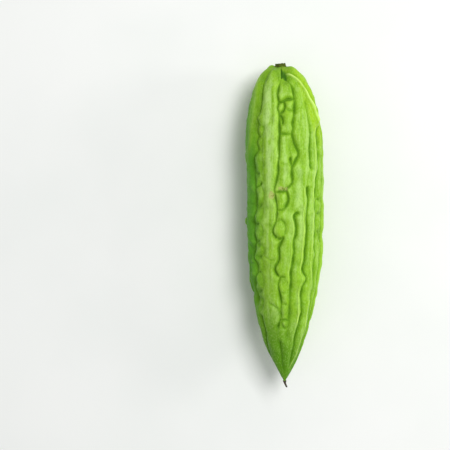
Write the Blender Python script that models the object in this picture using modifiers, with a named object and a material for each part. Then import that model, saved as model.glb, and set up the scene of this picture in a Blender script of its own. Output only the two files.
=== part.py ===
"""A bitter melon, as picked, lying on its side.

The fruit is one solid: a plain turned spindle whose ridges and warts are then raised from the skin by a
formula. The cut stalk's stub sits on the stem end, and the dried remnant of the flower on the tip.
X runs along the fruit with the stem end at +X, Z is up, and the fruit rests on z = 0. All is in metres.
"""

import math
from collections import namedtuple

import bmesh
import bpy
import numpy as np
from mathutils import Vector, noise

# Driving dimensions of the fruit: its length, its radius to the ridges' crowns, and how the shoulder at the
# stem end and the taper to the tip are bent
FRUIT_LENGTH = 0.2075
CROWN_RADIUS = 0.0258
SHOULDER = 0.050
SHOULDER_BEND = 1.65
SHOULDER_BLUNTNESS = 0.37
TAPER_START = 0.094
TAPER_BEND = 2.35
TAPER_BLUNTNESS = 0.85
SCAR_RADIUS = 0.0034
TIP_RADIUS = 0.0011
AXIS_HEIGHT = 0.0244
STEM_LEAN = 0.0024
LEAN_LENGTH = 0.070
TIP_LIFT = 0.0020

# Relief of the skin: the grooves' depth, how flat-topped and round-edged the ridges and warts are, how crisp
# the creases between them, how far the creases stray from their paths, and how lumpy the whole is
GROOVE_DEPTH = 0.0024
GROOVE_TO_RADIUS = 0.17
RIDGE_FLATNESS = 2.8
RIDGE_ROUNDING = 0.60
WART_SQUARENESS = 2.4
WART_ROUNDING = 0.45
WART_SKEW = 0.22
CREASE_SHARPNESS = 9
WANDER = 0.0008
WANDER_SPAN = 0.021
SCALLOP = 0.0006
SCALLOP_SPAN = 0.0075
LUMP_HEIGHT = 0.0008
LUMP_SPAN = 0.016
DIMPLE_HEIGHT = 0.00035
DIMPLE_SPAN = 0.0065

# The gaps between the ridges, going round the fruit from the one left of its top. Each has a path: distance
# from the stem end in millimetres, then middle and half-width in degrees. The ridges fill what is between two
# gaps, so a half-width below 0 makes them meet in a shallow crease. A gap with no warts is a plain groove.
Gap = namedtuple("Gap", "path warts")
LEFT_PATH = (
    (5, -49, 1.5),
    (12, -46, 2),
    (30, -42, 2),
    (39, -40, 3.5),
    (49, -40, 5),
    (59, -41, 8),
    (72, -42, 9),
    (88, -42, 8.5),
    (105, -43, 7),
    (121, -45, 7),
    (130, -50, 10),
    (140, -54, 13),
    (152, -54, 9),
    (162, -55, 6),
    (173, -55, 4),
    (190, -57, 3),
)
FACING_PATH = (
    (4, 3, 3),
    (8, 4, 8),
    (15, 8, 16),
    (20, 6, 15),
    (30, 4, 13),
    (34, 4, 11.5),
    (45, 2.5, 10),
    (58, 6.5, 15),
    (66, 1, 10.5),
    (76, -1, 12),
    (81, -5.5, 9),
    (88, -4, 11),
    (92, -3.5, 10),
    (101, 2, 14),
    (107, -0.5, 16.5),
    (112, -2, 16),
    (118, 0, 13),
    (134, -3, 12),
    (140, -1, 9.5),
    (160, 1, 8),
    (171, -2, 8.5),
    (180, -5, 7),
    (188, -12, 4),
    (198, -20, 3),
)
RIGHT_INNER_PATH = (
    (4, 18, 0.6),
    (10, 32, -0.8),
    (18, 37, -1.5),
    (26, 40, -1.6),
    (54, 39, -1.5),
    (63, 37, -1.8),
    (71, 34, -1.2),
    (81, 34, 0.2),
    (100, 33, 1),
    (113, 31, 1),
    (127, 32, 1),
    (145, 30, 1),
    (160, 32, 1),
    (175, 29, 1.3),
    (190, 33, 1.4),
)
RIGHT_OUTER_PATH = (
    (3, 38, 0.9),
    (7, 50, 0.9),
    (13, 59, 1.2),
    (22, 67, 1.2),
    (29, 70, 1),
    (36, 68, 0.9),
    (44, 62, 0.9),
    (60, 58, 0.9),
    (88, 55, 1),
    (111, 53, 1.2),
    (130, 52, 1.2),
    (143, 55, 1.2),
    (160, 56, 1.2),
    (188, 57, 1.2),
)

# Warts placed one by one: distance from the stem end in millimetres, angle round the fruit in degrees,
# half-length and half-width in millimetres, and height as a share of the groove's depth
LEFT_WARTS = (
    (40, -39, 6, 2.3, 0.80),
    (51, -38, 6, 3.1, 0.82),
    (63, -40, 8, 4.1, 0.90),
    (74.5, -40.5, 5, 4.5, 0.86),
    (85, -40.5, 6, 4.1, 0.90),
    (97, -41, 7, 4, 0.86),
    (109, -41.5, 7, 3.8, 0.90),
    (122.5, -43, 8, 3.6, 0.88),
    (134, -57, 5, 4.5, 0.84),
    (137.5, -46, 9, 3, 0.90),
    (142.5, -60, 6, 4.4, 0.82),
    (153, -54, 7.5, 4.2, 0.86),
    (165, -56, 6, 2.8, 0.80),
)
FACING_WARTS = (
    (11, 6, 6, 2.8, 0.90),
    (16, 7.5, 8, 5.6, 0.95),
    (27, -4.5, 4, 2.3, 0.76),
    (26, 8.5, 5, 4.1, 0.88),
    (36.5, -5, 4.3, 1.8, 0.66),
    (37, 6, 7.3, 4.1, 0.92),
    (50.5, 2, 7.5, 4.6, 0.92),
    (61.5, 0.5, 9, 4.4, 0.95),
    (72.5, -0.5, 8.2, 5.3, 0.95),
    (56.5, 13.5, 7, 3.4, 0.82),
    (87, -4, 5.4, 4.9, 0.97),
    (92, -3, 4.5, 3.5, 0.82),
    (98, 1, 5.3, 4.6, 0.66),
    (108, -8.5, 5.8, 4, 0.98),
    (105.5, 8.5, 12, 3.6, 0.90),
    (119.5, 3, 8.2, 4.7, 0.93),
    (129, -1, 10, 5.6, 0.97),
    (145.5, -0.5, 7.5, 4.1, 0.92),
    (160, 0.5, 9, 3.6, 0.90),
    (176, -2, 8.4, 3.2, 0.86),
)

# Rows that are drawn wart by wart: half-length in millimetres, height share, and how often two stand side by
# side. A wart fills its row and a little more, strays from its middle, and is set close to the one before it.
WartRow = namedtuple("WartRow", "half_length height pairs")
BEAD_ROW = WartRow((2.4, 6.5), (0.78, 1.0), 0.30)
MIXED_ROW = WartRow((2.8, 9.0), (0.80, 1.0), 0.20)
ROW_FILL = (0.98, 1.25)
ROW_STRAY = 0.15
ROW_PITCH = 0.90
PAIR_FILL = 0.62
PAIR_HEIGHT = 0.92
PAIR_LONGEST = 0.0042
PAIR_STAGGER = 0.0012
WART_SEED = 11
WART_SPAN = (0.016, 0.184)

GAPS = (
    Gap(LEFT_PATH, LEFT_WARTS),
    Gap(FACING_PATH, FACING_WARTS),
    Gap(RIGHT_INNER_PATH, None),
    Gap(RIGHT_OUTER_PATH, None),
    Gap(((30, 84, -2.0), (60, 77, -1.6), (90, 74, -0.6), (120, 72, 0.4), (160, 75, 0.8)), None),
    Gap(((20, 104, 7.5), (60, 103, 9), (130, 101, 9)), BEAD_ROW),
    Gap(((20, 138, 9), (70, 140, 10.5)), MIXED_ROW),
    Gap(((20, 176, 1.5), (80, 178, 2.5), (150, 177, 1.2)), None),
    Gap(((20, 213, 9), (80, 216, 10.5)), BEAD_ROW),
    Gap(((20, 262, 7), (60, 265, 8.5), (150, 263, 8.5)), MIXED_ROW),
)
PATH_SMOOTHING = 0.006
PATH_PLACES = np.linspace(0, FRUIT_LENGTH, 416)
ROWS_OPEN = (0.002, 0.010)
ROWS_CLOSE = (0.165, 0.196)
CLOSED_SHARE = 0.12

# The mesh: steps across a ridge, a row of warts and a plain groove, and rings along the fruit
RIDGE_STEPS = (-1.0, -0.78, -0.30, 0.30, 0.78)
ROW_STEPS = (-1.0, -0.5, 0.0, 0.5)
GROOVE_STEPS = (-1.0,)
RINGS = 74
LEAST_GROOVE = math.radians(0.35)
PROFILE_SAMPLES = 4000

# The pieces at the ends
END_GAP = 0.0003
STUB_HEIGHT = 0.0017
STUB_SIDES = 20
STUB_FOOT = 1.04
STUB_TOP = 0.86
STUB_RIM = 0.24
STUB_PITH_DEPTH = 0.32
STUB_RIBS = 5
STUB_RIB_HEIGHT = 0.07
STUB_RAGGEDNESS = (-0.22, 0.05)
STUB_SEED = 5
REMNANT_LENGTH = 0.0034
REMNANT_STEPS = 6
REMNANT_HOOK = (-0.35, 0.12)
REMNANT_FOOT = 0.95
REMNANT_TIP = 0.45
SHARP_ABOVE = math.radians(50)

# Base colour of each material, linear, and its roughness
GREEN = (0.250, 0.520, 0.080)
GREEN_ROUGHNESS = 0.42
CORK = (0.165, 0.130, 0.045)
CORK_ROUGHNESS = 0.85
DRIED = (0.045, 0.032, 0.018)
DRIED_ROUGHNESS = 0.80


def ease(value, start, end):
    """0 before start, 1 after end, and a smooth step between."""
    share = np.clip((value - start) / (end - start), 0, 1)
    return share * share * (3 - 2 * share)


def crown_radius(along):
    """Radius to the ridges' crowns at a distance from the stem end: a blunt shoulder and a long taper."""
    shoulder = np.clip(1 - along / SHOULDER, 0, 1)
    taper = np.clip((along - TAPER_START) / (FRUIT_LENGTH - TAPER_START), 0, 1)
    blunt = (1 - shoulder**SHOULDER_BEND) ** SHOULDER_BLUNTNESS
    pointed = (1 - taper**TAPER_BEND) ** TAPER_BLUNTNESS
    radius = CROWN_RADIUS * blunt * pointed
    floor = np.where(along < SHOULDER, SCAR_RADIUS, TIP_RADIUS)
    return np.maximum(radius, floor)


def profile(rings):
    """Rings evenly spread over the skin from stem end to tip: distance along, radius, outward slope."""
    dense = FRUIT_LENGTH * (1 - np.cos(np.linspace(0, math.pi, PROFILE_SAMPLES))) / 2
    radius = crown_radius(dense)
    skin = np.concatenate([[0], np.cumsum(np.hypot(np.diff(dense), np.diff(radius)))])
    places = np.linspace(0, skin[-1], rings)
    along = np.interp(places, skin, dense)
    ring = np.interp(places, skin, radius)
    run = np.gradient(along, places)
    rise = np.gradient(ring, places)
    size = np.hypot(run, rise)
    return along, ring, run / size, -rise / size


def smooth_path(stations):
    """Middle and half-width of a gap, in radians, at every PATH_PLACES, rounded off between its stations."""
    places, middle, half = np.array(stations, float).T
    window = np.ones(int(PATH_SMOOTHING / FRUIT_LENGTH * len(PATH_PLACES)))
    edge = len(window)
    path = []
    for values in (middle, half):
        even = np.interp(PATH_PLACES, places / 1000, np.radians(values))
        padded = np.pad(even, edge, mode="edge")
        path.append(np.convolve(padded, window / len(window), mode="same")[edge:-edge])
    return path


PATHS = [smooth_path(gap.path) for gap in GAPS]


def lanes(along, least=-math.pi):
    """Middles and half-widths, in radians, of each gap and of the ridge after it, at each distance."""
    opened = CLOSED_SHARE + (1 - CLOSED_SHARE) * ease(along, *ROWS_OPEN) * (1 - ease(along, *ROWS_CLOSE))
    middle = np.stack([np.interp(along, PATH_PLACES, path[0]) for path in PATHS], axis=1)
    half = np.stack([np.interp(along, PATH_PLACES, path[1]) for path in PATHS], axis=1)
    half = np.maximum(half * opened[:, None], least)
    following = np.roll(middle, -1, axis=1)
    following[:, -1] += 2 * math.pi
    start = middle + half
    end = following - np.roll(half, -1, axis=1)
    middles = np.stack([middle, (start + end) / 2], axis=2).reshape(len(along), -1)
    halves = np.stack([half, (end - start) / 2], axis=2).reshape(len(along), -1)
    return middles, halves


def warts():
    """Every wart: distance from the stem, angle, half-length, half-width, height share and skew."""
    draw = np.random.default_rng(WART_SEED)
    found = []
    for index, gap in enumerate(GAPS):
        if gap.warts is None:
            continue
        if isinstance(gap.warts, WartRow):
            row = drawn_row(draw, index)
        else:
            row = [
                (place / 1000, math.radians(turn), half_length / 1000, half_width / 1000, height)
                for place, turn, half_length, half_width, height in gap.warts
            ]
        found += [(*wart, draw.uniform(-WART_SKEW, WART_SKEW)) for wart in row]
    return np.array(found)


def drawn_row(draw, index):
    """A row of warts drawn end to end down one gap, some of them in pairs side by side."""
    style = GAPS[index].warts
    row = []
    along = WART_SPAN[0]
    while along < WART_SPAN[1]:
        half_length = draw.uniform(*style.half_length) / 1000
        height = draw.uniform(*style.height)
        along += half_length
        here = np.array([along])
        middles, halves = lanes(here)
        middle = middles[0, 2 * index]
        room = halves[0, 2 * index]
        half_room = room * float(crown_radius(here)[0])
        if draw.random() < style.pairs:
            half_length = min(half_length, PAIR_LONGEST)
            for side in (-1, 1):
                place = along + side * draw.uniform(0, PAIR_STAGGER)
                turn = middle + side * room / 2
                row.append((place, turn, half_length, half_room * PAIR_FILL, height * PAIR_HEIGHT))
        else:
            turn = middle + draw.uniform(-ROW_STRAY, ROW_STRAY) * room
            half_width = half_room * draw.uniform(*ROW_FILL)
            row.append((along, turn, half_length, half_width, height))
        along += half_length * ROW_PITCH
    return row


def relief(along, angle, ring, wart_list):
    """Height of the skin above the groove floor, from 0 to about 1, as the soft highest of its domes."""
    middles, halves = lanes(along)
    total = np.zeros_like(angle)
    for lane in range(1, 2 * len(GAPS), 2):
        across = wrapped(angle - middles[:, lane]) / halves[:, lane]
        dome = np.clip(1 - np.abs(across) ** RIDGE_FLATNESS, 0, 1) ** RIDGE_ROUNDING
        total += dome**CREASE_SHARPNESS
    for place, turn, half_length, half_width, height, skew in wart_list:
        lengthwise = np.abs(along - place) / half_length
        across = np.abs(wrapped(angle - turn) * ring - skew * (along - place)) / half_width
        inside = np.clip(1 - lengthwise**WART_SQUARENESS - across**WART_SQUARENESS, 0, 1)
        total += (height * inside**WART_ROUNDING) ** CREASE_SHARPNESS
    return total ** (1 / CREASE_SHARPNESS)


def wrapped(angle):
    return (angle + math.pi) % (2 * math.pi) - math.pi


def noise_at(points, span, shift):
    """Smooth noise of about -1 to 1 at each point. The shift sets one use of it apart from another."""
    offset = Vector((shift, 2.0 * shift, 0.5 * shift))
    return np.array([noise.noise(Vector(p) / span + offset) for p in points])


def skin_points(along, ring, run, rise, angle):
    """Places points of the plain spindle on the finished skin of the lying fruit."""
    plain = np.stack([along, ring * np.sin(angle), ring * np.cos(angle)], axis=1)
    height = relief(along, angle, ring, warts())
    depth = np.minimum(GROOVE_DEPTH, GROOVE_TO_RADIUS * ring)
    fade = depth / GROOVE_DEPTH
    lumps = LUMP_HEIGHT * noise_at(plain, LUMP_SPAN, 3.0) + DIMPLE_HEIGHT * noise_at(plain, DIMPLE_SPAN, 6.0)
    inward = depth * (1 - height) + lumps * fade
    along_skin = along - rise * inward
    ring_skin = ring - run * inward
    stray = WANDER * noise_at(plain, WANDER_SPAN, 9.0) + SCALLOP * noise_at(plain, SCALLOP_SPAN, 12.0)
    turn = angle + stray * fade / np.maximum(ring, SCAR_RADIUS)
    lean = STEM_LEAN * np.clip(1 - along / LEAN_LENGTH, 0, 1) ** 2
    lift = TIP_LIFT * np.clip((along - TAPER_START) / (FRUIT_LENGTH - TAPER_START), 0, 1) ** 2
    x = FRUIT_LENGTH / 2 - along_skin
    y = lean - ring_skin * np.sin(turn)
    z = AXIS_HEIGHT + lift + ring_skin * np.cos(turn)
    return np.stack([x, y, np.maximum(z, 0)], axis=1)


def columns():
    """Lane and place across it of each lengthwise line of the mesh, so that the lines follow the ridges."""
    lines = []
    for index, gap in enumerate(GAPS):
        gap_steps = ROW_STEPS if gap.warts else GROOVE_STEPS
        lines += [(2 * index, step) for step in gap_steps]
        lines += [(2 * index + 1, step) for step in RIDGE_STEPS]
    return np.array(lines)


def material(name, colour, roughness):
    made = bpy.data.materials.new(name)
    made.use_nodes = True
    shader = made.node_tree.nodes["Principled BSDF"]
    shader.inputs["Base Color"].default_value = (*colour, 1)
    shader.inputs["Roughness"].default_value = roughness
    shader.inputs["Metallic"].default_value = 0
    return made


def add_object(name, mesh, surface, collection):
    made = bpy.data.objects.new(name, mesh)
    made.data.materials.append(surface)
    collection.objects.link(made)
    return made


def smooth(mesh):
    mesh.shade_smooth()
    mesh.set_sharp_from_angle(angle=SHARP_ABOVE)


def turned_spindle(along, ring, steps, collection):
    """The plain fruit: its profile, with a point on the axis at each end, turned by a Screw modifier."""
    outline = [(0, 0, -along[0])]
    outline += [(r, 0, -a) for a, r in zip(along, ring)]
    outline += [(0, 0, -along[-1])]
    mesh = bpy.data.meshes.new("spindle_profile")
    mesh.from_pydata(outline, [(i, i + 1) for i in range(len(outline) - 1)], [])
    guide = bpy.data.objects.new("spindle_profile", mesh)
    collection.objects.link(guide)
    turn = guide.modifiers.new("turn", "SCREW")
    turn.axis = "Z"
    turn.angle = 2 * math.pi
    turn.steps = steps
    turn.render_steps = steps
    turn.use_merge_vertices = True
    turn.merge_threshold = 0.00001
    graph = bpy.context.evaluated_depsgraph_get()
    turned = bpy.data.meshes.new_from_object(guide.evaluated_get(graph))
    bpy.data.objects.remove(guide)
    return turned


def build_fruit(collection):
    """The fruit: the plain spindle with each of its points moved to its place on the warted skin."""
    along, ring, run, rise = profile(RINGS)
    lines = columns()
    mesh = turned_spindle(along, ring, len(lines), collection)
    mesh.name = "fruit"

    points = np.empty(3 * len(mesh.vertices), np.float32)
    mesh.vertices.foreach_get("co", points)
    points = points.reshape(-1, 3).astype(float)
    spread = np.hypot(points[:, 0], points[:, 1])
    miss = (spread[:, None] - ring) ** 2 + (-points[:, 2][:, None] - along) ** 2
    row = np.argmin(miss, axis=1)
    azimuth = np.arctan2(points[:, 1], points[:, 0]) % (2 * math.pi)
    column = np.round(azimuth / (2 * math.pi) * len(lines)).astype(int) % len(lines)

    lane = lines[column, 0].astype(int)
    middles, halves = lanes(along[row], LEAST_GROOVE)
    index = np.arange(len(row))
    angle = middles[index, lane] + lines[column, 1] * halves[index, lane]
    placed = skin_points(along[row], ring[row], run[row], rise[row], angle)

    on_axis = spread < TIP_RADIUS / 2
    for end in (0, len(along) - 1):
        rim = placed[(row == end) & ~on_axis]
        placed[(row == end) & on_axis] = rim.mean(axis=0)
    mesh.vertices.foreach_set("co", placed.astype(np.float32).ravel())
    mesh.update()
    smooth(mesh)
    return add_object("fruit", mesh, material("green_skin", GREEN, GREEN_ROUGHNESS), collection)


def stem_end():
    """Middle and outward direction of the fruit's stem end."""
    slope = 2 * STEM_LEAN / LEAN_LENGTH
    return Vector((FRUIT_LENGTH / 2, STEM_LEAN, AXIS_HEIGHT)), Vector((1, slope, 0)).normalized()


def tip_end():
    """Middle and outward direction of the fruit's tip."""
    slope = 2 * TIP_LIFT / (FRUIT_LENGTH - TAPER_START)
    return Vector((-FRUIT_LENGTH / 2, 0, AXIS_HEIGHT + TIP_LIFT)), Vector((-1, 0, slope)).normalized()


def build_stalk_stub(collection):
    """The cut stalk: a short ribbed stub with a torn rim round a sunken pith."""
    form = bmesh.new()
    bmesh.ops.create_cone(
        form,
        cap_ends=True,
        segments=STUB_SIDES,
        radius1=SCAR_RADIUS * STUB_FOOT,
        radius2=SCAR_RADIUS * STUB_TOP,
        depth=STUB_HEIGHT,
    )
    top = max(form.faces, key=lambda f: f.calc_center_median().z)
    bmesh.ops.inset_region(form, faces=[top], thickness=SCAR_RADIUS * STUB_RIM)
    for corner in top.verts:
        corner.co.z -= STUB_HEIGHT * STUB_PITH_DEPTH
    draw = np.random.default_rng(STUB_SEED)
    for corner in form.verts:
        turn = math.atan2(corner.co.y, corner.co.x)
        rib = 1 + STUB_RIB_HEIGHT * math.cos(STUB_RIBS * turn)
        corner.co.x *= rib
        corner.co.y *= rib
        if corner.co.z > 0:
            corner.co.z += STUB_HEIGHT * float(draw.uniform(*STUB_RAGGEDNESS))
    bmesh.ops.translate(form, verts=form.verts, vec=(0, 0, STUB_HEIGHT / 2 + END_GAP))
    place, outward = stem_end()
    upright = outward.to_track_quat("Z", "Y").to_matrix().to_4x4()
    bmesh.ops.transform(form, verts=form.verts, matrix=upright)
    bmesh.ops.recalc_face_normals(form, faces=form.faces)
    mesh = bpy.data.meshes.new("stalk_stub")
    form.to_mesh(mesh)
    form.free()
    smooth(mesh)
    stub = add_object("stalk_stub", mesh, material("dry_cork", CORK, CORK_ROUGHNESS), collection)
    stub.location = place
    return stub


def build_flower_remnant(collection):
    """What is left of the flower: a short dried point, hooked to one side."""
    curve = bpy.data.curves.new("flower_remnant", "CURVE")
    curve.dimensions = "3D"
    curve.bevel_depth = TIP_RADIUS * REMNANT_FOOT
    curve.bevel_resolution = 2
    curve.use_fill_caps = True
    line = curve.splines.new("POLY")
    shares = np.linspace(0, 1, REMNANT_STEPS)
    line.points.add(len(shares) - 1)
    for point, share in zip(line.points, shares):
        reach = END_GAP + REMNANT_LENGTH * share
        hook = REMNANT_LENGTH * share**2
        point.co = (-reach, REMNANT_HOOK[0] * hook, REMNANT_HOOK[1] * hook, 1)
        point.radius = 1 - (1 - REMNANT_TIP) * share
    dried = material("dried_flower", DRIED, DRIED_ROUGHNESS)
    remnant = add_object("flower_remnant", curve, dried, collection)
    place, outward = tip_end()
    remnant.location = place
    remnant.rotation_euler = (0, math.atan2(outward.z, -outward.x), 0)
    return remnant


def main():
    for old in list(bpy.data.objects):
        bpy.data.objects.remove(old)
    collection = bpy.data.collections.new("bitter_melon")
    bpy.context.scene.collection.children.link(collection)
    build_fruit(collection)
    build_stalk_stub(collection)
    build_flower_remnant(collection)


main()
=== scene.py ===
"""A bitter melon, as picked, lying on its side on a pale floor and seen from straight above.

X runs along the fruit with the stem end at +X, Z is up, and everything is in metres.
"""

import math
from collections import namedtuple

import bmesh
import bpy
import numpy as np
from mathutils import Matrix, Vector, noise


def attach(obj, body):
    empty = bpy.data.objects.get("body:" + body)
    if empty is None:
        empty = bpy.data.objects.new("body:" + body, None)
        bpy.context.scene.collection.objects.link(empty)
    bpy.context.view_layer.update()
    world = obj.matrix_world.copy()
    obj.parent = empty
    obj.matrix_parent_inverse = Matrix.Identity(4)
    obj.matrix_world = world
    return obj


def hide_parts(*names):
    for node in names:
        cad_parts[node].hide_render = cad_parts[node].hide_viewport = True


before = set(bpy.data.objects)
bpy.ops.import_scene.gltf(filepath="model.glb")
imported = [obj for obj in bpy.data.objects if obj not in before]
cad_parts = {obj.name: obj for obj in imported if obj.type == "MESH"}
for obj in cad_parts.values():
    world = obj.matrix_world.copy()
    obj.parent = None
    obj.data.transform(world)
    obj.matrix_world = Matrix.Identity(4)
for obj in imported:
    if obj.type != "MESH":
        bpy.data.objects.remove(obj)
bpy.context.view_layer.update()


# The fruit: one grown gourd, firm and waxy, with lengthwise ridges, and grooves and rows of smooth warts
# between them, all pressed together along narrow creases. It is made as a plain turned spindle, whose skin
# is then carved along those creases and lumped all over.

FRUIT_LENGTH = 0.2075
CROWN_RADIUS = 0.0258
SHOULDER = 0.050
SHOULDER_BEND = 1.65
SHOULDER_BLUNTNESS = 0.345
TAPER_START = 0.094
TAPER_BEND = 2.35
TAPER_BLUNTNESS = 0.81
SCAR_RADIUS = 0.0034
TIP_RADIUS = 0.0011
AXIS_HEIGHT = 0.0244
STEM_LEAN = 0.0024
LEAN_LENGTH = 0.070
TIP_LIFT = 0.0020
# The ridges' ends stand up in a collar round the stem's scar
COLLAR_RISE = 0.0032
COLLAR_RADIUS = 0.0068
COLLAR_WIDTH = 0.0042

# Relief: the grooves' depth, how wide the edge of a ridge is where it turns down, how square and flat-topped
# the warts are, how crisp the creases between them, how far these stray, and how lumpy the whole is
GROOVE_DEPTH = 0.0042
GROOVE_TO_RADIUS = 0.20
RIDGE_EDGE = 0.0008
WART_SQUARENESS = 2.4
WART_FLATNESS = 3.6
WART_ROUNDING = 0.45
WART_SKEW = 0.22
CREASE_SHARPNESS = 9
WANDER = 0.0004
WANDER_SPAN = 0.021
SCALLOP = 0.0005
SCALLOP_SPAN = 0.0065
# The upper side's creases stray less
UPPER_MIDDLE = math.radians(-11)
UPPER_EDGE = (math.radians(90), math.radians(75))
UPPER_CALM = 0.75
LUMP_HEIGHT = 0.0008
LUMP_SPAN = 0.016
DIMPLE_HEIGHT = 0.00080
DIMPLE_SPAN = 0.0062
WRINKLE_HEIGHT = 0.00010
WRINKLE_SPAN = 0.0021

# Rows of warts on the sides and the back: half-length in millimetres, height share, and how often two stand
# side by side. A wart fills its row and a little more, and strays from its middle.
WartRow = namedtuple("WartRow", "half_length height pairs")
BEAD_ROW = WartRow((2.4, 6.5), (0.78, 1.0), 0.30)
MIXED_ROW = WartRow((2.8, 9.0), (0.80, 1.0), 0.20)
ROW_FLOOR = 0.40
ROW_FILL = (0.98, 1.25)
ROW_STRAY = 0.15
ROW_PITCH = 0.90
PAIR_FILL = 0.62
PAIR_HEIGHT = 0.92
PAIR_LONGEST = 0.0042
PAIR_STAGGER = 0.0012
WART_SEED = 11
WART_SPAN = (0.016, 0.184)
# The first draws belong to the warts of the upper side, which are shaped by their creases instead
DRAWS_BEFORE = 33

# The gaps between ridges on the sides and the back: distance from the stem end in millimetres, then middle
# and half-width in degrees round the fruit, from its top as it lies. Below 0 they make a shallow crease.
Gap = namedtuple("Gap", "path warts")
GAPS = (
    Gap(((30, 84, -2.0), (60, 77, -1.6), (90, 74, -0.6), (120, 72, 0.4), (160, 75, 0.8)), None),
    Gap(((20, 104, 7.5), (60, 103, 9), (130, 101, 9)), BEAD_ROW),
    Gap(((20, 138, 9), (70, 140, 10.5)), MIXED_ROW),
    Gap(((20, 176, 1.5), (80, 178, 2.5), (150, 177, 1.2)), None),
    Gap(((20, 213, 9), (80, 216, 10.5)), BEAD_ROW),
    Gap(((20, 262, 7), (60, 265, 8.5), (125, 264, 8.5), (150, 259, 6.5)), MIXED_ROW),
)
PATH_SMOOTHING = 0.006
PATH_PLACES = np.linspace(0, FRUIT_LENGTH, 416)
ROWS_OPEN = (0.002, 0.010)
ROWS_CLOSE = (0.165, 0.196)
CLOSED_SHARE = 0.12

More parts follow.
